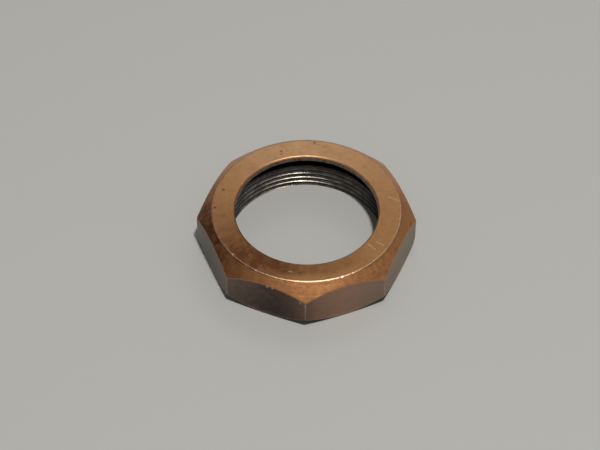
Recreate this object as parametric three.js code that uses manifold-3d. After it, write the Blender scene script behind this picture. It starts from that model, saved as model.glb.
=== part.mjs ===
// Octagonal ring nut with an internal thread and an inward lip, turned and milled from one piece.
// Millimetres, +Z up. The origin is the centre of the bottom face and +Z runs along the bore
// towards the lipped top face. Two of the flats face +X and -X, and two face +Y and -Y.

import * as THREE from 'three';
import { mergeVertices } from 'three/addons/utils/BufferGeometryUtils.js';
import Module from 'manifold-3d';

// Body
const ACROSS_FLATS = 50;
const FLAT_COUNT = 8;
const THICKNESS = 12.4;

// Outer chamfers: each is a cone that cuts the corners and leaves a round face
const TOP_FACE_RADIUS = 23.2;
const TOP_CHAMFER_ANGLE = 45;
const BOTTOM_FACE_RADIUS = 24.75;
const BOTTOM_CHAMFER_ANGLE = 45;

// Lip at the top of the bore, which rests on the shoulder of the part that the nut clamps
const LIP_RADIUS = 17.6;
const LIP_THICKNESS = 1.5;
const LIP_EDGE_BREAK = 0.3;

// Right-hand internal thread M40 x 1.5, which runs out into a relief under the lip
const THREAD_MAJOR_RADIUS = 20;
const THREAD_PITCH = 1.5;
const THREAD_FLANK_ANGLE = 30;
const THREAD_DEPTH_PER_PITCH = 0.541266;
const THREAD_EDGE_BREAK = 0.1;
const GROOVE_HEIGHT_AT_X_AXIS = 1.42;
const RELIEF_RADIUS = 20.3;
const RELIEF_HEIGHT = 3.75;

// Facets
const SEGMENTS_PER_TURN = 64;
const CUT_OVERRUN = 1;
const THREAD_CUT_OVERLAP = 0.225;
const THREAD_TURNS_BELOW = 1;

// Sizes that follow from the driving dimensions
const CORNER_RADIUS = ACROSS_FLATS / 2 / Math.cos(Math.PI / FLAT_COUNT);
const THREAD_MINOR_RADIUS = THREAD_MAJOR_RADIUS - THREAD_DEPTH_PER_PITCH * THREAD_PITCH;
const LIP_UNDERSIDE = THICKNESS - LIP_THICKNESS;
const THREAD_TOP = LIP_UNDERSIDE - RELIEF_HEIGHT;

const wasm = await Module();
wasm.setup();

function tangent(degrees) {
  return Math.tan(THREE.MathUtils.degToRad(degrees));
}

// A closed three.js geometry as a solid that can be cut and joined
function toSolid(geometry) {
  geometry.deleteAttribute('normal');
  geometry.deleteAttribute('uv');
  const merged = mergeVertices(geometry);
  const mesh = new wasm.Mesh({
    numProp: 3,
    vertProperties: new Float32Array(merged.attributes.position.array),
    triVerts: new Uint32Array(merged.index.array),
  });
  return new wasm.Manifold(mesh);
}

function toGeometry(solid) {
  const mesh = solid.getMesh();
  const geometry = new THREE.BufferGeometry();
  geometry.setAttribute('position', new THREE.BufferAttribute(mesh.vertProperties, 3));
  geometry.setIndex(new THREE.BufferAttribute(mesh.triVerts, 1));
  geometry.computeVertexNormals();
  return geometry;
}

// A profile of [radius, height] points turned about +Z
function turned(profile) {
  const points = profile.map(([radius, height]) => new THREE.Vector2(radius, height));
  const geometry = new THREE.LatheGeometry(points, SEGMENTS_PER_TURN);
  geometry.rotateX(Math.PI / 2);
  return toSolid(geometry);
}

// Octagonal bar, longer than the nut at both ends, with its flats square to X and Y
function octagonalBar() {
  const outline = new THREE.Shape();
  for (let corner = 0; corner < FLAT_COUNT; corner += 1) {
    const angle = ((corner + 0.5) * 2 * Math.PI) / FLAT_COUNT;
    const x = CORNER_RADIUS * Math.cos(angle);
    const y = CORNER_RADIUS * Math.sin(angle);
    if (corner === 0) {
      outline.moveTo(x, y);
    } else {
      outline.lineTo(x, y);
    }
  }
  outline.closePath();
  const depth = THICKNESS + 2 * CUT_OVERRUN;
  const geometry = new THREE.ExtrudeGeometry(outline, { depth, bevelEnabled: false });
  geometry.translate(0, 0, -CUT_OVERRUN);
  return toSolid(geometry);
}

// Turned blank: flat round faces at the bottom and top, with a cone running out from each
function chamferedBlank() {
  const blankRadius = CORNER_RADIUS + CUT_OVERRUN;
  const bottomConeTop = (blankRadius - BOTTOM_FACE_RADIUS) * tangent(BOTTOM_CHAMFER_ANGLE);
  const topConeBottom = THICKNESS - (blankRadius - TOP_FACE_RADIUS) * tangent(TOP_CHAMFER_ANGLE);
  return turned([
    [0, 0],
    [BOTTOM_FACE_RADIUS, 0],
    [blankRadius, bottomConeTop],
    [blankRadius, topConeBottom],
    [TOP_FACE_RADIUS, THICKNESS],
    [0, THICKNESS],
  ]);
}

// Everything that is bored out: thread core, relief and lip, with the two mouth edges broken
function boreCore() {
  return turned([
    [0, -CUT_OVERRUN],
    [THREAD_MINOR_RADIUS + THREAD_EDGE_BREAK + CUT_OVERRUN, -CUT_OVERRUN],
    [THREAD_MINOR_RADIUS, THREAD_EDGE_BREAK],
    [THREAD_MINOR_RADIUS, THREAD_TOP],
    [RELIEF_RADIUS, THREAD_TOP],
    [RELIEF_RADIUS, LIP_UNDERSIDE],
    [LIP_RADIUS, LIP_UNDERSIDE],
    [LIP_RADIUS, THICKNESS - LIP_EDGE_BREAK],
    [LIP_RADIUS + LIP_EDGE_BREAK + CUT_OVERRUN, THICKNESS + CUT_OVERRUN],
    [0, THICKNESS + CUT_OVERRUN],
  ]);
}

// The thread's groove as a solid: its section is extruded straight, then wound into a helix.
// It is wound downwards from inside the relief and leaves through the bottom face.
function threadGroove() {
  const flankSlope = tangent(THREAD_FLANK_ANGLE);
  const innerHalfWidth = (3 / 8) * THREAD_PITCH + THREAD_CUT_OVERLAP * flankSlope;
  const rootHalfWidth = THREAD_PITCH / 16;
  const section = new THREE.Shape([
    new THREE.Vector2(THREAD_MINOR_RADIUS - THREAD_CUT_OVERLAP, -innerHalfWidth),
    new THREE.Vector2(THREAD_MAJOR_RADIUS, -rootHalfWidth),
    new THREE.Vector2(THREAD_MAJOR_RADIUS, rootHalfWidth),
    new THREE.Vector2(THREAD_MINOR_RADIUS - THREAD_CUT_OVERLAP, innerHalfWidth),
  ]);
  const turnsAbove = Math.ceil((THREAD_TOP - GROOVE_HEIGHT_AT_X_AXIS) / THREAD_PITCH + 0.5);
  const steps = (THREAD_TURNS_BELOW + turnsAbove) * SEGMENTS_PER_TURN;
  const geometry = new THREE.ExtrudeGeometry(section, { steps, depth: steps, bevelEnabled: false });
  const position = geometry.attributes.position;
  for (let index = 0; index < position.count; index += 1) {
    const turn = turnsAbove - position.getZ(index) / SEGMENTS_PER_TURN;
    const radius = position.getX(index);
    const height = position.getY(index) + GROOVE_HEIGHT_AT_X_AXIS + turn * THREAD_PITCH;
    const angle = turn * 2 * Math.PI;
    position.setXYZ(index, radius * Math.cos(angle), radius * Math.sin(angle), height);
  }
  return toSolid(geometry);
}

const bronzeTone = new THREE.MeshStandardMaterial({
  color: 0x9a6a44,
  roughness: 0.45,
  metalness: 1,
  flatShading: true,
});

const nutSolid = octagonalBar()
  .intersect(chamferedBlank())
  .subtract(boreCore())
  .subtract(threadGroove());

const nutBody = new THREE.Mesh(toGeometry(nutSolid), bronzeTone);
nutBody.name = 'nut_body';

const ringNut = new THREE.Group();
ringNut.add(nutBody);

export default ringNut;
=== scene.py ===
"""Looks for the octagonal ring nut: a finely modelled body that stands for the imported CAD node.

Lengths of the nut and the camera are in millimetres until they are used in the scene. The floor and
the lights are in metres. Angles on the nut are measured from +X about +Z, in degrees where a place is
named and in radians in the formulas.
"""

import math

import bmesh
import bpy
import numpy as np
from mathutils import Matrix, Vector


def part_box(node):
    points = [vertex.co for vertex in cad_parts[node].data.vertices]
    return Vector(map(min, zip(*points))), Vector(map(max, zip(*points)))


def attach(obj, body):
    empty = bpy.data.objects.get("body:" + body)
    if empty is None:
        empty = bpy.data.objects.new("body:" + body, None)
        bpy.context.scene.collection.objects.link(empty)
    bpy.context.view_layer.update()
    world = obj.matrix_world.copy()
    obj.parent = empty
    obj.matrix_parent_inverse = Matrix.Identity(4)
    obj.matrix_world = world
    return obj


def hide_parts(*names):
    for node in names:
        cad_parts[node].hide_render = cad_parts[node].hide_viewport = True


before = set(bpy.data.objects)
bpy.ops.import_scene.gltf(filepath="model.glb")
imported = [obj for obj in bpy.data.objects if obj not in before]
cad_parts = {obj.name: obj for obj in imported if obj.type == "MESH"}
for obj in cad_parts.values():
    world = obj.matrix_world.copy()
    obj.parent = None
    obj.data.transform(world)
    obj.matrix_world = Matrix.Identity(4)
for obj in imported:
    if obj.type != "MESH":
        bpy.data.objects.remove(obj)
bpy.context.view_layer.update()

MM = 0.001
SEED = 7

# Body, taken from the CAD node's box
node_low, node_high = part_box("nut_body")
HALF_FLATS = (node_high.x - node_low.x) / 2 / MM
THICKNESS = node_high.z / MM
FLATS = 8
FLAT_STEP = 2 * math.pi / FLATS
CORNER_RADIUS = HALF_FLATS / math.cos(FLAT_STEP / 2)

# Turned faces and the chamfers between them and the flats, both at 45 degrees
TOP_FACE_RADIUS = 23.2
BOTTOM_FACE_RADIUS = 24.75

# Lip, relief and thread
LIP_RADIUS = 17.6
LIP_BREAK = 0.3
LIP_THICKNESS = 1.5
LIP_UNDERSIDE = THICKNESS - LIP_THICKNESS
RELIEF_RADIUS = 20.3
RELIEF_HEIGHT = 3.75
THREAD_TOP = LIP_UNDERSIDE - RELIEF_HEIGHT
THREAD_MAJOR = 20.0
PITCH = 1.5
THREAD_DEPTH_PER_PITCH = 0.541266
THREAD_MINOR = THREAD_MAJOR - THREAD_DEPTH_PER_PITCH * PITCH
ROOT_HALF_WIDTH = PITCH / 16
FLANK_FROM_AXIS = math.radians(60)
GROOVE_HEIGHT = 1.42
MOUTH_BREAK = 0.1

# How far sharp forms are eased: the upright corners, and the thread's crests and roots
CORNER_CUT = 0.06
CORNER_SOFTNESS = 0.035
THREAD_SOFTNESS = 0.03

# Mesh density: even columns round the nut, with finer ones at these degrees from each corner
EVEN_COLUMNS = 528
CORNER_OFFSETS = (0.1, 0.22, 0.36, 0.55)
ROWS_PER_PITCH = 10
BOTTOM_FACE_ROWS = 4
# A bend of the profile has this many steps and takes up at most this share of each side
BEND_STEPS = 4
LARGEST_BEND_SHARE = 0.45
# Heights of the level rings in the bore's mouth, as shares of its edge break
MOUTH_SHARES = (0.6, 0.3, 0.0)
# Points that are closer than this are merged
MERGE_DISTANCE = 0.0002

# The kinds of surface, in the order of the mesh's materials
TURNED, FLAT, LIP, THREAD = range(4)

# Marks of use. A place on the top face is a radius and an angle. Pits and stains then have a size,
# and a scratch runs from one place to another with a width.
PITS = (
    (20.5, 131, 0.26),
    (19.5, 132, 0.18),
    (21.5, 186, 0.26),
    (22.5, 202, 0.26),
    (22.5, 108, 0.24),
    (22.0, 105, 0.16),
)
STAINS = (
    (20.5, 209, 0.8),
    (21.0, 246, 1.3),
    (19.5, 262, 1.5),
    (19.5, 276, 1.1),
    (18.5, 269, 0.8),
    (21.5, 100, 0.7),
)
SCRATCHES = (
    ((18.5, 346), (21.0, 345), 0.10),
    ((20.0, 351), (22.0, 351), 0.10),
    ((20.5, 35), (23.0, 30), 0.09),
    ((23.5, 336), (25.0, 336), 0.10),
    ((20.5, 281), (20.5, 283), 0.09),
)
# Nicks on edges: radius, angle, height below the top, size and depth
NICKS = (
    (TOP_FACE_RADIUS, 15, 0.0, 0.32, 0.10),
    (TOP_FACE_RADIUS, 314, 0.0, 0.22, 0.06),
    (TOP_FACE_RADIUS, 321, 0.0, 0.16, 0.04),
    (TOP_FACE_RADIUS, 243, 0.0, 0.30, 0.09),
    (LIP_RADIUS, 57, 0.1, 0.42, 0.14),
    (LIP_RADIUS, 127, 0.1, 0.26, 0.07),
    (26.5, 290, 4.0, 0.24, 0.08),
    (27.0, 292, 5.0, 0.20, 0.07),
    (HALF_FLATS, 271, 2.0, 0.26, 0.05),
    (HALF_FLATS, 274, 2.0, 0.22, 0.05),
)
# Small nicks at random places: how many, the share on each edge, and the ranges of their sizes,
# depths and, on the upright corners, heights below the top
RANDOM_NICKS = 60
RANDOM_NICK_EDGES = {"rim": 0.3, "arc": 0.3, "corner": 0.2, "bottom": 0.1, "lip": 0.1}
RANDOM_NICK_SIZES = (0.12, 0.32)
RANDOM_NICK_DEPTHS = (0.02, 0.07)
CORNER_NICK_DROPS = (4, 9.5)

# How deep the marks are pressed in, and how strongly they change the colour, from 0 to 1
PIT_DEPTH = 0.09
SCRATCH_DEPTH = 0.02
STAIN_STRENGTH = 0.22
SCRATCH_STRENGTH = 0.45
NICK_STRENGTH = 0.6
RANDOM_NICK_STRENGTH = 0.2

# Tones round the nut, as sums of soft bumps. Each has an amount, an angle and a width in degrees.
# Painted shade on the chamfers and bottom face, darkest towards 218 degrees
EDGE_PAINTED_SHADE = ((0.95, 218, 42), (0.25, 28, 18))
EVEN_FLAT_TONE = 0.42
# Painted light and shade on the flats: lighter towards 311, 90 and 0 degrees, darker towards 278, 225
# and 255
FLAT_PAINTED_LIGHT = (
    (0.19, 311, 22),
    (-0.38, 278, 22),
    (0.12, 90, 60),
    (0.08, 0, 20),
    (-0.24, 225, 22),
    (-0.07, 255, 12),
)
FLAT_BROWN = ((1.15, 292, 52), (0.25, 0, 22), (0.6, 110, 75))
# Painted shade on the thread's rubbed flanks, most towards 38 degrees, less towards 200
THREAD_PAINTED_SHADE = ((1.0, 38, 44), (0.3, 200, 40))
# Painted sheen that makes the top face lighter towards 112 degrees
FACE_PAINTED_SHEEN = ((1.0, 112, 60),)

# Inner band of the top face, where the painted shade reaches further round: the radius at which the
# band starts to fade outwards, and the width of the fade
INNER_BAND_RADIUS = 20.6
INNER_BAND_FADE = 1.6

# Limits that sort points: in the bore, on its lip, near the top, on the top face, on the underside
BORE_LIMIT = THREAD_MAJOR + 0.5
LIP_LIMIT = LIP_RADIUS + 1
NEAR_TOP = 1.0
FACE_MARGIN = 0.2
UNDERSIDE_MARGIN = 0.05

# Stands for far from any edge in the distances that the materials read
FAR = 5.0


# ---------------------------------------------------------------- geometry of the nut


def column_angles():
    """Angles of the mesh columns. The last one is the first one a full turn later."""
    angles = [2 * math.pi * i / EVEN_COLUMNS for i in range(EVEN_COLUMNS)]
    for corner in range(FLATS):
        middle = (corner + 0.5) * FLAT_STEP
        for offset in CORNER_OFFSETS:
            angles.append(middle - math.radians(offset))
            angles.append(middle + math.radians(offset))
    angles.sort()
    return np.array(angles + [angles[0] + 2 * math.pi])


def ring_noise(angles, rng, waves, fall):
    """Smooth random wave round the nut, between -1 and 1. A larger fall weakens its quick parts."""
    total = np.zeros_like(angles)
    for wave in range(1, waves + 1):
        phase = rng.uniform(0, 2 * math.pi)
        height = rng.uniform(0.4, 1.0) / wave**fall
        total += height * np.sin(wave * angles + phase)
    return total / np.abs(total).max()


def from_flat_middle(angles):
    """Angle from the middle of the nearest flat, negative on one side of it."""
    return (angles + FLAT_STEP / 2) % FLAT_STEP - FLAT_STEP / 2


def flat_radius(angles):
    """Distance from the axis to the flats, with each upright corner slightly rounded off."""
    sharp = HALF_FLATS / np.cos(from_flat_middle(angles))
    cap = CORNER_RADIUS - CORNER_CUT
    return -CORNER_SOFTNESS * np.logaddexp(-sharp / CORNER_SOFTNESS, -cap / CORNER_SOFTNESS)


def top_edge_height(radius):
    """Height at which the top chamfer meets a flat that lies at this radius."""
    return THICKNESS - (radius - TOP_FACE_RADIUS)


def bottom_edge_height(radius):
    """Height at which the bottom chamfer meets a flat that lies at this radius."""
    return radius - BOTTOM_FACE_RADIUS


def thread_radius(height, angles):
    """Radius of the internal thread's surface, with slightly rounded crests and roots."""
    soft = THREAD_SOFTNESS
    phase = (height - GROOVE_HEIGHT) / PITCH - angles / (2 * math.pi)
    from_groove = np.abs((phase + 0.5) % 1.0 - 0.5) * PITCH
    flank = THREAD_MAJOR - (from_groove - ROOT_HALF_WIDTH) * math.tan(FLANK_FROM_AXIS)
    root = -soft * np.logaddexp(-flank / soft, -THREAD_MAJOR / soft)
    return soft * np.logaddexp(root / soft, THREAD_MINOR / soft)


def bend(before, corner, after, cut):
    """Rows that round off one corner of the profile, cut back by the given length on each side."""
    sides = []
    for neighbour in (before, after):
        side = neighbour - corner
        length = np.linalg.norm(side, axis=1, keepdims=True)
        sides.append(corner + side * np.minimum(cut[:, None] / length, LARGEST_BEND_SHARE))
    start, end = sides
    rows = []
    for step in range(BEND_STEPS + 1):
        t = step / BEND_STEPS
        rows.append((1 - t) ** 2 * start + 2 * t * (1 - t) * corner + t**2 * end)
    return rows


def bored_ring(height, angles):
    """One row of [radius, height] on the thread, opened out where the mouth's edge is broken."""
    mouth = THREAD_MINOR + MOUTH_BREAK - height
    return np.stack([np.maximum(thread_radius(height, angles), mouth), height], axis=1)


def outer_rows(angles, rng):
    """Rows of [radius, height], from the mouth round the outside and through the lip to the thread.

    Each row comes with the kind of surface that lies between it and the row before.
    """
    ones = np.ones_like(angles)
    radius = flat_radius(angles)
    worn = 1 + 0.45 * ring_noise(angles, rng, waves=90, fall=0.35)
    lightly_worn = 1 + 0.35 * ring_noise(angles, rng, waves=60, fall=0.4)

    def ring(r, z):
        return np.stack([r * ones, z * ones], axis=1)

    start = bored_ring(0 * ones, angles)
    end = ring(thread_radius(THREAD_TOP * ones, angles), THREAD_TOP)
    # Each corner: where it is, how far it is rounded back, and the face after it: rows and kind
    corners = [
        (ring(BOTTOM_FACE_RADIUS, 0.0), 0.10 * lightly_worn, 1, TURNED),
        (ring(radius, bottom_edge_height(radius)), 0.12 * lightly_worn, 12, FLAT),
        (ring(radius, top_edge_height(radius)), 0.15 * worn, 13, TURNED),
        (ring(TOP_FACE_RADIUS, THICKNESS), 0.22 * worn, 25, TURNED),
        (ring(LIP_RADIUS + LIP_BREAK, THICKNESS), 0.10 * lightly_worn, 1, TURNED),
        (ring(LIP_RADIUS, THICKNESS - LIP_BREAK), 0.10 * ones, 3, LIP),
        (ring(LIP_RADIUS, LIP_UNDERSIDE), 0.05 * ones, 2, LIP),
        (ring(RELIEF_RADIUS, LIP_UNDERSIDE), 0.15 * ones, 3, THREAD),
        (ring(RELIEF_RADIUS, THREAD_TOP), 0.08 * ones, 1, THREAD),
    ]
    points = [start] + [corner[0] for corner in corners] + [end]
    bends = [
        bend(points[i], corner[0], points[i + 2], corner[1]) for i, corner in enumerate(corners)
    ]
    rows_after = [BOTTOM_FACE_ROWS] + [corner[2] for corner in corners]
    kinds_after = [TURNED] + [corner[3] for corner in corners]
    rows, kinds = [start], [TURNED]
    for index, rows_between in enumerate(rows_after):
        target = bends[index][0] if index < len(bends) else end
        origin = rows[-1]
        for i in range(rows_between):
            rows.append(origin + (target - origin) * (i + 1) / (rows_between + 1))
        kinds += [kinds_after[index]] * (rows_between + 1)
        if index < len(bends):
            rows += bends[index]
            kinds += [kinds_after[index]] * (BEND_STEPS // 2)
            kinds += [kinds_after[index + 1]] * (BEND_STEPS // 2)
        else:
            rows.append(end)
    return rows, kinds


def thread_rows(angles):
    """Rows that follow the helix down from the top of the thread, then level rings at the mouth."""
    step = PITCH / ROWS_PER_PITCH
    first = math.ceil(THREAD_TOP / step)
    last = math.floor(-(PITCH + GROOVE_HEIGHT) / step)
    rows = []
    for index in range(first, last - 1, -1):
        height = GROOVE_HEIGHT + index * step + PITCH * angles / (2 * math.pi)
        rows.append(bored_ring(np.clip(height, MOUTH_BREAK, THREAD_TOP), angles))
    for share in MOUTH_SHARES:
        rows.append(bored_ring(np.full_like(angles, share * MOUTH_BREAK), angles))
    return rows


# ---------------------------------------------------------------- wear


def on_top(radius, degrees):
    """Point of the top face, or of the chamfer where the radius is larger."""
    turn = math.radians(degrees)
    height = THICKNESS - max(radius - TOP_FACE_RADIUS, 0)
    return np.array([radius * math.cos(turn), radius * math.sin(turn), height])


def spot(points, centre, size):
    """1 at the centre, falling smoothly to 0 by about twice the size."""
    away = np.linalg.norm(points - centre, axis=2)
    return np.exp(-((away / size) ** 2))


def line_mark(points, start, end, width):
    """1 along a straight line from start to end, falling to 0 beside it."""
    along = end - start
    share = np.clip((points - start) @ along / (along @ along), 0, 1)
    away = np.linalg.norm(points - start - share[:, :, None] * along, axis=2)
    return np.exp(-((away / width) ** 2))


def random_nicks(rng):
    """Small nicks at random places on the edges, in the form of NICKS."""
    places = []
    for _ in range(RANDOM_NICKS):
        degrees = rng.uniform(0, 360)
        outside = float(flat_radius(np.array([math.radians(degrees)]))[0])
        edge = rng.choice(list(RANDOM_NICK_EDGES), p=list(RANDOM_NICK_EDGES.values()))
        size, depth = rng.uniform(*RANDOM_NICK_SIZES), rng.uniform(*RANDOM_NICK_DEPTHS)
        if edge == "rim":
            places.append((TOP_FACE_RADIUS, degrees, 0.0, size, depth))
        elif edge == "lip":
            places.append((LIP_RADIUS + LIP_BREAK, degrees, 0.0, size, depth))
        elif edge == "arc":
            places.append((outside, degrees, outside - TOP_FACE_RADIUS, size, depth))
        elif edge == "bottom":
            places.append((outside, degrees, THICKNESS - bottom_edge_height(outside), size, depth))
        else:
            corner = (rng.integers(FLATS) + 0.5) * 360 / FLATS
            drop = rng.uniform(*CORNER_NICK_DROPS)
            places.append((CORNER_RADIUS, corner, drop, size, depth))
    return places


def wear_surface(points, rng):
    """Press the marks into the points, in place, and give back the masks of bare and grimy metal."""
    shape = points.shape[:2]
    bare, grime = np.zeros(shape), np.zeros(shape)
    down = np.array([0, 0, -1.0])
    for radius, degrees, size in PITS:
        mark = spot(points, on_top(radius, degrees), size)
        grime = np.maximum(grime, mark)
        points += mark[:, :, None] * down * PIT_DEPTH
    for radius, degrees, size in STAINS:
        stain = spot(points, on_top(radius, degrees), size)
        grime = np.maximum(grime, STAIN_STRENGTH * stain)
    for start, end, width in SCRATCHES:
        mark = line_mark(points, on_top(*start), on_top(*end), width)
        bare = np.maximum(bare, SCRATCH_STRENGTH * mark)
        points += mark[:, :, None] * down * SCRATCH_DEPTH
    for index, (radius, degrees, drop, size, depth) in enumerate(list(NICKS) + random_nicks(rng)):
        turn = math.radians(degrees)
        outward = np.array([math.cos(turn), math.sin(turn), 0.0])
        centre = outward * radius + np.array([0, 0, THICKNESS - drop])
        on_lip = radius < LIP_LIMIT
        near_top = drop < NEAR_TOP
        strength = NICK_STRENGTH if index < len(NICKS) else RANDOM_NICK_STRENGTH
        mark = spot(points, centre, size)
        bare = np.maximum(bare, mark * strength)
        into_metal = (outward if on_lip else -outward) + down * near_top
        points += mark[:, :, None] * into_metal * depth
    return bare, grime


def angle_bump(angles, degrees, width):
    """1 at one angle round the nut, falling smoothly to 0 by about twice the width in degrees."""
    away = (angles - math.radians(degrees) + math.pi) % (2 * math.pi) - math.pi
    return np.exp(-((away / math.radians(width)) ** 2))


def tone_round(angles, bumps):
    """Sum of soft bumps round the nut, each an amount, an angle and a width in degrees."""
    return sum(amount * angle_bump(angles, degrees, width) for amount, degrees, width in bumps)


def edge_distances(radius, angles, height):
    """Distances in millimetres to the rim of the top face, the lip's edge and the outer edges."""
    outside = flat_radius(angles)
    rim = np.hypot(radius - TOP_FACE_RADIUS, height - THICKNESS)
    lip = np.hypot(radius - LIP_RADIUS - LIP_BREAK / 2, height - THICKNESS + LIP_BREAK / 2)
    arc = np.hypot(radius - outside, height - top_edge_height(outside))
    low = np.hypot(radius - outside, height - bottom_edge_height(outside))
    corner_turn = FLAT_STEP / 2 - np.abs(from_flat_middle(angles))
    corner = np.hypot(radius - CORNER_RADIUS, radius * corner_turn)
    in_bore = radius < BORE_LIMIT
    return {
        "rim_distance": np.minimum(rim, FAR),
        "lip_distance": np.minimum(lip, FAR),
        "edge_distance": np.where(in_bore, FAR, np.minimum(np.minimum(arc, corner), low)),
    }


def face_painted_shade(radius, angles):
    """Painted shade on the near side of the top face, lighter to one side outside the inner band."""
    inner_band = 1 - np.clip((radius - INNER_BAND_RADIUS) / INNER_BAND_FADE, 0, 1)
    lighter = (1 - inner_band) * angle_bump(angles, 296, 24)
    beside = 0.22 * angle_bump(angles, 320, 20) * inner_band
    return angle_bump(angles, 259, 43) * (1 - lighter) + beside


def tone_masks(radius, angles, height):
    """Masks from 0 to 1: where the chamfers, underside and grooves are, the painted shade and sheen,
    the flats' tones with painted light, their hue, and the painted shade in the thread.
    """
    outside = flat_radius(angles)
    on_face = np.abs(height - THICKNESS) < FACE_MARGIN
    # Painted shade: the near side of the top face, and one side of the chamfers
    painted_shade = np.where(on_face, face_painted_shade(radius, angles), tone_round(angles, EDGE_PAINTED_SHADE))
    # The underside is the bottom chamfer, which the bronze paints dark as contact shade
    below_flats = height < bottom_edge_height(outside) + UNDERSIDE_MARGIN
    under = below_flats & (radius > BOTTOM_FACE_RADIUS + UNDERSIDE_MARGIN)
    depth = (radius - THREAD_MINOR) / (THREAD_MAJOR - THREAD_MINOR)
    return {
        "painted_shade": np.clip(painted_shade, 0, 1),
        "painted_sheen": np.where(on_face, tone_round(angles, FACE_PAINTED_SHEEN), 0.0),
        "chamfer": np.where(on_face, 0.0, 1.0),
        "underside": np.where(under, 1.0, 0.0),
        "flat_tone_and_light": np.clip(EVEN_FLAT_TONE + tone_round(angles, FLAT_PAINTED_LIGHT), 0, 1),
        "brown": np.clip(tone_round(angles, FLAT_BROWN), 0, 1),
        "groove_depth": np.clip(depth, 0, 1),
        "thread_shade": np.clip(tone_round(angles, THREAD_PAINTED_SHADE), 0, 1),
    }


def grid_mesh(name, points, kinds, layers):
    """Mesh of quads between rows of points, with a material for each row and attribute layers."""
    row_count, column_count = points.shape[:2]
    number = np.arange(row_count * column_count).reshape(row_count, column_count)
    quads = np.stack(
        [number[:-1, :-1], number[:-1, 1:], number[1:, 1:], number[1:, :-1]], axis=2
    ).reshape(-1, 4)
    mesh = bpy.data.meshes.new(name)
    mesh.from_pydata((points.reshape(-1, 3) * MM).tolist(), [], quads.tolist())
    mesh.polygons.foreach_set("material_index", np.repeat(kinds[1:], column_count - 1))
    for layer_name, values in layers.items():
        layer = mesh.attributes.new(layer_name, "FLOAT", "POINT")
        layer.data.foreach_set("value", values.astype(np.float32).ravel())
    return mesh


def close_seams(mesh):
    """Merge points that lie on each other, as where the grid meets itself, and drop empty faces."""
    work = bmesh.new()
    work.from_mesh(mesh)
    bmesh.ops.remove_doubles(work, verts=work.verts, dist=MERGE_DISTANCE * MM)
    bmesh.ops.dissolve_degenerate(work, edges=work.edges, dist=MERGE_DISTANCE * MM)
    work.to_mesh(mesh)
    work.free()


def build_nut():
    """The whole nut as one closed mesh object, with its kinds of surface and its attributes."""
    rng = np.random.default_rng(SEED)
    angles = column_angles()
    outer, kinds = outer_rows(angles, rng)
    inner = thread_rows(angles)
    rows = np.array(outer + inner)
    kinds = np.array(kinds + [THREAD] * len(inner))
    radius, height = rows[:, :, 0], rows[:, :, 1]
    turns = np.broadcast_to(angles, radius.shape)
    points = np.stack([radius * np.cos(turns), radius * np.sin(turns), height], axis=2)
    layers = edge_distances(radius, turns, height) | tone_masks(radius, turns, height)
    layers["bare"], layers["grime"] = wear_surface(points, rng)
    mesh = grid_mesh("ring_nut", points, kinds, layers)
    close_seams(mesh)
    mesh.shade_smooth()
    nut = bpy.data.objects.new("ring_nut", mesh)
    bpy.context.scene.collection.objects.link(nut)
    return nut


# ---------------------------------------------------------------- materials

# Turned faces and chamfers
BRONZE = (0.43, 0.215, 0.092)
# Painted sheen of the top face
BRONZE_SHEEN = (0.67, 0.385, 0.205)
BRONZE_CHAMFER = (0.80, 0.35, 0.145)
BRONZE_PATCH = (0.50, 0.27, 0.10)
BRONZE_BLOTCH = (0.27, 0.115, 0.05)
# Painted shade
BRONZE_SHADE = (0.16, 0.06, 0.026)
BRONZE_WORN = (0.84, 0.53, 0.34)
BRONZE_DUST = (0.25, 0.12, 0.06)
# Grime of pits and stains, and painted shade on the bottom chamfer
BRONZE_GRIME_AND_SHADE = (0.035, 0.018, 0.012)
BRONZE_BARE = (0.93, 0.76, 0.60)

# Wrench flats
FLAT_BROWN_DARK = (0.06, 0.042, 0.036)
FLAT_BROWN_LIGHT = (0.60, 0.345, 0.245)
FLAT_GREY_DARK = (0.07, 0.068, 0.056)
FLAT_GREY_LIGHT = (0.50, 0.46, 0.38)
FLAT_WORN = (0.58, 0.42, 0.32)
FLAT_SPECK = (0.035, 0.025, 0.02)
FLAT_BARE = (0.85, 0.72, 0.62)

# Bore of the lip, relief and thread
LIP_DARK = (0.12, 0.105, 0.085)
LIP_LIGHT = (0.26, 0.20, 0.15)
LIP_EDGE = (0.5, 0.34, 0.22)
# Black oil of the grooves, also painted shade in the relief under the lip
THREAD_OIL_AND_SHADE = (0.010, 0.009, 0.008)
THREAD_DULL = (0.42, 0.37, 0.32)
THREAD_BRIGHT = (0.62, 0.55, 0.48)

FLOOR_COLOUR = (0.46, 0.455, 0.43, 1)


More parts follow.
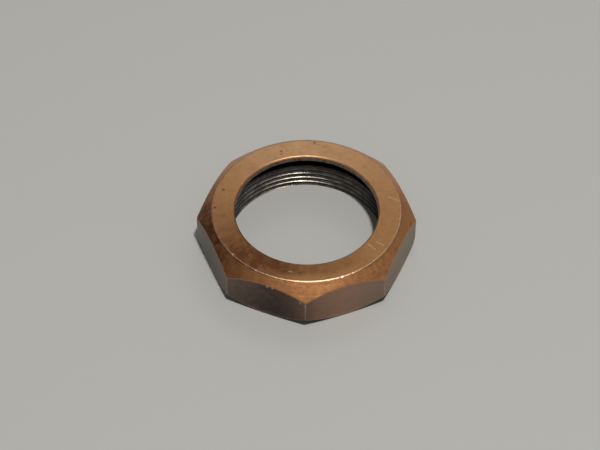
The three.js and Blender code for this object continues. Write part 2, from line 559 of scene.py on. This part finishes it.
class Surface:
    """One procedural metal. Its helpers add nodes, and most give back the last node's output."""

    def __init__(self, name):
        self.material = bpy.data.materials.new(name)
        self.material.use_nodes = True
        self.nodes = self.material.node_tree.nodes
        self.links = self.material.node_tree.links
        self.shader = self.nodes["Principled BSDF"]
        self.place = self.vector_math("SCALE", self.add("TexCoord").outputs["Object"], 1 / MM)
        split = self.add("SeparateXYZ")
        self.feed(split.inputs[0], self.place)
        x, y, self.height = split.outputs
        squares = self.math("ADD", self.math("MULTIPLY", x, x), self.math("MULTIPLY", y, y))
        self.radius = self.math("SQRT", squares)
        self.east = self.math("DIVIDE", x, self.radius)
        self.north = self.math("DIVIDE", y, self.radius)

    def add(self, kind):
        return self.nodes.new("ShaderNode" + kind)

    def feed(self, socket, value):
        if isinstance(value, bpy.types.NodeSocket):
            self.links.new(value, socket)
        elif isinstance(value, tuple) and socket.type == "RGBA":
            socket.default_value = (*value, 1)
        else:
            socket.default_value = value

    def math(self, operation, first, second=0.0, clamp=False):
        node = self.add("Math")
        node.operation = operation
        node.use_clamp = clamp
        self.feed(node.inputs[0], first)
        self.feed(node.inputs[1], second)
        return node.outputs[0]

    def vector_math(self, operation, first, scale):
        node = self.add("VectorMath")
        node.operation = operation
        self.feed(node.inputs[0], first)
        self.feed(node.inputs["Scale"], scale)
        return node.outputs[0]

    def vector(self, x, y, z):
        node = self.add("CombineXYZ")
        for socket, value in zip(node.inputs, (x, y, z)):
            self.feed(socket, value)
        return node.outputs[0]

    def attribute(self, name):
        node = self.add("Attribute")
        node.attribute_name = name
        return node.outputs["Fac"]

    def noise(self, vector, scale, detail, roughness=0.5):
        node = self.add("TexNoise")
        self.feed(node.inputs["Vector"], vector)
        self.feed(node.inputs["Scale"], scale)
        self.feed(node.inputs["Detail"], detail)
        self.feed(node.inputs["Roughness"], roughness)
        return node.outputs["Fac"]

    def fade(self, value, start, end, low=0.0, high=1.0):
        """Smooth change from low at start to high at end."""
        node = self.add("MapRange")
        node.interpolation_type = "SMOOTHSTEP"
        for socket, number in zip(node.inputs[1:5], (start, end, low, high)):
            self.feed(socket, number)
        self.feed(node.inputs["Value"], value)
        return node.outputs["Result"]

    def mix(self, factor, first, second):
        """Blend of two colours. Their sockets on the node are inputs 6 and 7 and output 2."""
        node = self.add("Mix")
        node.data_type = "RGBA"
        self.feed(node.inputs["Factor"], factor)
        self.feed(node.inputs[6], first)
        self.feed(node.inputs[7], second)
        return node.outputs[2]

    def times(self, first, second):
        return self.math("MULTIPLY", first, second)

    def total(self, *values):
        result = values[0]
        for value in values[1:]:
            result = self.math("ADD", result, value)
        return result

    def turning(self, fineness, drift):
        """Concentric streaks: quick change along the radius and height, slow change round."""
        across = self.times(self.total(self.radius, self.times(self.height, 0.37)), fineness)
        round_x, round_y = self.times(self.east, drift), self.times(self.north, drift)
        return self.noise(
            self.vector(across, round_x, round_y), scale=1.0, detail=4.0, roughness=0.6
        )

    def finish(self, colour, roughness, relief, metallic):
        """Join the last values to the shader. Relief is a height in millimetres."""
        bump = self.add("Bump")
        self.feed(bump.inputs["Distance"], MM)
        self.feed(bump.inputs["Height"], relief)
        self.feed(self.shader.inputs["Normal"], bump.outputs["Normal"])
        self.feed(self.shader.inputs["Base Color"], colour)
        self.feed(self.shader.inputs["Roughness"], roughness)
        self.feed(self.shader.inputs["Metallic"], metallic)
        return self.material


def centred(surface, value, amount):
    """A noise output moved to lie evenly about zero and scaled."""
    return surface.times(surface.math("SUBTRACT", value, 0.5), amount)


def turned_bronze():
    """Top and bottom faces and chamfers: copper-coloured bronze with turning streaks and patchy
    patina, painted shade round one side, a painted sheen on the top face and painted shade on the
    bottom chamfer.

    The colours go on in order, from the metal itself to the marks on top of it.
    """
    s = Surface("turned_bronze")
    fine = s.turning(fineness=7.0, drift=3.0)
    coarse = s.turning(fineness=2.2, drift=1.4)
    patches = s.noise(s.place, scale=0.16, detail=3.0)
    mottling = s.noise(s.place, scale=0.85, detail=5.0, roughness=0.62)
    grain = s.noise(s.place, scale=5.5, detail=3.0, roughness=0.6)
    # Painted shade round one side, mottled by noise
    shade_amount = s.attribute("painted_shade")
    clouds = s.noise(s.place, scale=0.45, detail=5.0, roughness=0.65)
    uneven = s.total(centred(s, mottling, 1.0), centred(s, clouds, 1.2), centred(s, coarse, 0.3))
    uneven = s.times(uneven, s.math("ADD", shade_amount, 0.22))
    painted_shade = s.math("ADD", shade_amount, uneven, clamp=True)
    # Painted sheen: the top face lighter towards 112 degrees
    painted_sheen = s.attribute("painted_sheen")
    colour = s.mix(painted_sheen, BRONZE, BRONZE_SHEEN)
    colour = s.mix(s.attribute("chamfer"), colour, BRONZE_CHAMFER)
    colour = s.mix(s.times(s.fade(patches, 0.35, 0.65), 0.25), colour, BRONZE_PATCH)
    blotches = s.fade(s.noise(s.place, scale=0.33, detail=6.0, roughness=0.7), 0.5, 0.72)
    blotches = s.times(blotches, s.fade(coarse, 0.3, 0.7))
    colour = s.mix(s.times(blotches, 0.38), colour, BRONZE_BLOTCH)
    colour = s.mix(painted_shade, colour, BRONZE_SHADE)
    streak = s.total(centred(s, fine, 0.28), centred(s, coarse, 0.2), centred(s, grain, 0.6), 1.0)
    streak = s.total(streak, centred(s, mottling, 0.6))
    colour = s.vector_math("SCALE", colour, streak)
    wobble = centred(s, s.noise(s.place, scale=1.9, detail=3.0, roughness=0.7), 0.5)
    rim = s.total(s.attribute("rim_distance"), wobble)
    lip = s.total(s.attribute("lip_distance"), wobble)
    arc = s.total(s.attribute("edge_distance"), wobble)
    worn = s.math("MAXIMUM", s.fade(rim, 0.04, 0.26, 0.6, 0.0), s.fade(lip, 0.04, 0.2, 0.4, 0.0))
    worn = s.math("MAXIMUM", worn, s.fade(arc, 0.0, 0.2, 0.2, 0.0))
    colour = s.mix(worn, colour, BRONZE_WORN)
    dust = s.fade(s.noise(s.place, scale=3.1, detail=2.0, roughness=0.8), 0.68, 0.76)
    colour = s.mix(s.times(dust, 0.3), colour, BRONZE_DUST)
    # Grime of pits and stains, and painted shade over the bottom chamfer
    grime = s.math("MAXIMUM", s.attribute("grime"), s.times(s.attribute("underside"), 0.95))
    colour = s.mix(grime, colour, BRONZE_GRIME_AND_SHADE)
    colour = s.mix(s.attribute("bare"), colour, BRONZE_BARE)
    roughness = s.total(0.41, centred(s, fine, 0.2), centred(s, mottling, 0.2), s.times(worn, -0.06))
    relief = s.total(s.times(fine, 0.012), s.times(grain, 0.006), s.times(mottling, 0.02))
    return s.finish(colour, roughness, relief, metallic=1.0)


def milled_flat():
    """Wrench flats: grey-brown oxide with painted light and shade on each flat, rubbed along the
    flat, brighter where edges are worn.
    """
    s = Surface("milled_flat")
    along = s.vector(s.times(s.east, 11.0), s.times(s.north, 11.0), s.times(s.height, 5.0))
    rubbed = s.noise(along, scale=1.0, detail=4.0, roughness=0.65)
    mottling = s.noise(s.place, scale=0.6, detail=5.0, roughness=0.6)
    grain = s.noise(s.place, scale=4.5, detail=4.0, roughness=0.65)
    # Each flat's tone with its painted light and shade, mottled and rubbed
    tone = s.total(s.attribute("flat_tone_and_light"), centred(s, mottling, 0.3), centred(s, rubbed, 0.25))
    low_edge = s.total(s.fade(s.height, 0.3, 1.6, 0.1, 0.0), s.fade(s.height, 2.0, 9.0, -0.06, 0.01))
    tone = s.math("ADD", tone, low_edge, clamp=True)
    brown = s.mix(tone, FLAT_BROWN_DARK, FLAT_BROWN_LIGHT)
    grey = s.mix(tone, FLAT_GREY_DARK, FLAT_GREY_LIGHT)
    brownness = s.math("ADD", s.attribute("brown"), centred(s, mottling, 0.4), clamp=True)
    colour = s.mix(brownness, grey, brown)
    colour = s.vector_math("SCALE", colour, s.total(centred(s, grain, 0.5), 1.0))
    wobble = centred(s, s.noise(s.place, scale=1.7, detail=4.0, roughness=0.7), 0.8)
    arc = s.total(s.attribute("edge_distance"), wobble)
    worn = s.fade(arc, 0.0, 0.25, 0.45, 0.0)
    colour = s.mix(worn, colour, FLAT_WORN)
    speck = s.fade(s.noise(s.place, scale=2.2, detail=2.0, roughness=0.8), 0.69, 0.75)
    colour = s.mix(s.times(speck, 0.6), colour, FLAT_SPECK)
    colour = s.mix(s.attribute("bare"), colour, FLAT_BARE)
    roughness = s.total(0.47, centred(s, rubbed, 0.25), centred(s, mottling, 0.2))
    relief = s.total(s.times(rubbed, 0.014), s.times(grain, 0.012), s.times(mottling, 0.03))
    return s.finish(colour, roughness, relief, metallic=0.95)


def lip_wall():
    """Bore of the lip: dull and dark, with fine turning lines."""
    s = Surface("lip_wall")
    fine = s.turning(fineness=9.0, drift=3.0)
    mottling = s.noise(s.place, scale=1.1, detail=4.0, roughness=0.6)
    colour = s.mix(s.fade(mottling, 0.35, 0.65), LIP_DARK, LIP_LIGHT)
    colour = s.vector_math("SCALE", colour, s.total(centred(s, fine, 0.6), 1.0))
    colour = s.mix(s.fade(s.attribute("lip_distance"), 0.1, 0.6, 0.6, 0.0), colour, LIP_EDGE)
    roughness = s.total(0.5, centred(s, fine, 0.3))
    relief = s.total(s.times(fine, 0.012), s.times(mottling, 0.02))
    return s.finish(colour, roughness, relief, metallic=1.0)


def oiled_thread():
    """Relief and thread: bare metal where the mating thread rubs, black oil in the grooves and
    painted shade: the relief black, the metal dimmer higher up and round one side.
    """
    s = Surface("oiled_thread")
    along = s.vector(s.times(s.east, 24.0), s.times(s.north, 24.0), s.times(s.height, 3.0))
    drawn = s.noise(along, scale=1.0, detail=4.0, roughness=0.7)
    patches = s.noise(s.place, scale=0.35, detail=4.0, roughness=0.6)
    grain = s.noise(s.place, scale=4.0, detail=3.0, roughness=0.7)
    # Past the thread's major radius, as in the relief, the depth is full and the metal takes the
    # black: painted shade under the lip
    depth = s.attribute("groove_depth")
    flank = s.times(s.fade(depth, 0.0, 0.12), s.fade(depth, 0.88, 1.0, 1.0, 0.0))
    uneven = s.total(0.8, centred(s, drawn, 0.9), centred(s, patches, 0.7))
    rubbed = s.math("MULTIPLY", flank, uneven, clamp=True)
    # Painted shade: the rubbed metal dims higher up the bore, under the lip
    rubbed = s.times(rubbed, s.fade(s.height, 4.5, THREAD_TOP + 0.2, 1.0, 0.45))
    # Painted shade that dims the rubbed metal round one side of the bore
    rubbed = s.times(rubbed, s.math("SUBTRACT", 1.0, s.times(s.attribute("thread_shade"), 0.95)))
    metal = s.mix(s.fade(patches, 0.4, 0.6), THREAD_DULL, THREAD_BRIGHT)
    colour = s.mix(rubbed, THREAD_OIL_AND_SHADE, metal)
    colour = s.vector_math("SCALE", colour, s.total(centred(s, grain, 0.6), 1.0))
    roughness = s.total(0.29, centred(s, grain, 0.2))
    relief = s.total(s.times(drawn, 0.015), s.times(grain, 0.012))
    return s.finish(colour, roughness, relief, metallic=1.0)


def plain_floor():
    material = bpy.data.materials.new("pale_floor")
    material.use_nodes = True
    shader = material.node_tree.nodes["Principled BSDF"]
    shader.inputs["Base Color"].default_value = FLOOR_COLOUR
    shader.inputs["Roughness"].default_value = 0.6
    return material


# ---------------------------------------------------------------- stage, light and camera

# The camera looks at a corner of the nut, from far off, so the view is almost parallel. Its azimuth
# is its turn about +Z from the -Y side, in degrees. Its aim is the middle of the bottom face, moved
# sideways and up in the view.
CAMERA_AZIMUTH = 22.51
CAMERA_ELEVATION = 48.50
CAMERA_ROLL = 0.69
CAMERA_DISTANCE = 22.97 * CORNER_RADIUS
CAMERA_SIDE = -0.0579 * CORNER_RADIUS
CAMERA_UP = 0.1590 * CORNER_RADIUS
CAMERA_LENS = 150.0

# The floor lies just under the nut, in metres
FLOOR_HALF_SIZE = 3.0
FLOOR_DROP = 0.00002


def add_camera():
    azimuth = math.radians(CAMERA_AZIMUTH)
    elevation = math.radians(CAMERA_ELEVATION)
    roll = math.radians(CAMERA_ROLL)
    right = Vector((math.cos(azimuth), math.sin(azimuth), 0))
    ahead_level = Vector((-math.sin(azimuth), math.cos(azimuth), 0))
    ahead = ahead_level * math.cos(elevation) + Vector((0, 0, -math.sin(elevation)))
    up = right.cross(ahead)
    target = right * CAMERA_SIDE + up * CAMERA_UP
    rolled_right = right * math.cos(roll) + up * math.sin(roll)
    rolled_up = up * math.cos(roll) - right * math.sin(roll)
    axes = Matrix((rolled_right, rolled_up, -ahead)).transposed().to_4x4()
    camera = bpy.data.objects.new("camera", bpy.data.cameras.new("camera"))
    camera.data.lens = CAMERA_LENS
    camera.data.sensor_width = 36
    camera.data.clip_start = 0.01
    camera.data.clip_end = 50
    camera.matrix_world = Matrix.Translation((target - ahead * CAMERA_DISTANCE) * MM) @ axes
    bpy.context.scene.collection.objects.link(camera)
    bpy.context.scene.camera = camera


def view_direction(side, elevation):
    """Unit vector towards a place round the nut: side is degrees right of straight behind it."""
    turn = math.radians(CAMERA_AZIMUTH - side + 90)
    rise = math.radians(elevation)
    return Vector((math.cos(turn) * math.cos(rise), math.sin(turn) * math.cos(rise), math.sin(rise)))


def add_area_light(name, side, elevation, distance, width, depth, power, colour):
    """Rectangular light that faces the nut, with its distance and size in metres."""
    light = bpy.data.lights.new(name, "AREA")
    light.shape = "RECTANGLE"
    light.size = width
    light.size_y = depth
    light.energy = power
    light.color = colour
    lamp = bpy.data.objects.new(name, light)
    towards = view_direction(side, elevation)
    lamp.location = towards * distance
    lamp.rotation_mode = "QUATERNION"
    lamp.rotation_quaternion = towards.to_track_quat("Z", "Y")
    bpy.context.scene.collection.objects.link(lamp)


def add_stage():
    half = FLOOR_HALF_SIZE
    mesh = bpy.data.meshes.new("floor")
    corners = [(-half, -half, 0), (half, -half, 0), (half, half, 0), (-half, half, 0)]
    mesh.from_pydata(corners, [], [(0, 1, 2, 3)])
    floor = bpy.data.objects.new("floor", mesh)
    floor.location.z = -FLOOR_DROP
    bpy.context.scene.collection.objects.link(floor)
    floor.data.materials.append(plain_floor())


def add_lighting():
    """A dim room, a steep lamp in front on the right, and a wide soft light behind."""
    world = bpy.data.worlds.new("studio")
    world.use_nodes = True
    background = world.node_tree.nodes["Background"]
    background.inputs["Color"].default_value = (0.96, 0.98, 1.0, 1)
    background.inputs["Strength"].default_value = 0.2
    bpy.context.scene.world = world
    add_area_light(
        "lamp", side=158, elevation=75, distance=1.2,
        width=0.07, depth=0.07, power=10, colour=(1, 0.99, 0.96),
    )
    add_area_light(
        "back", side=12, elevation=50, distance=1.5,
        width=1.1, depth=0.8, power=1.7, colour=(1, 0.99, 0.97),
    )
    bpy.context.scene.view_settings.view_transform = "Standard"


# ---------------------------------------------------------------- put together

add_camera()
nut = build_nut()
for make_material in (turned_bronze, milled_flat, lip_wall, oiled_thread):
    nut.data.materials.append(make_material())
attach(nut, "root")
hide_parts("nut_body")
add_stage()
add_lighting()
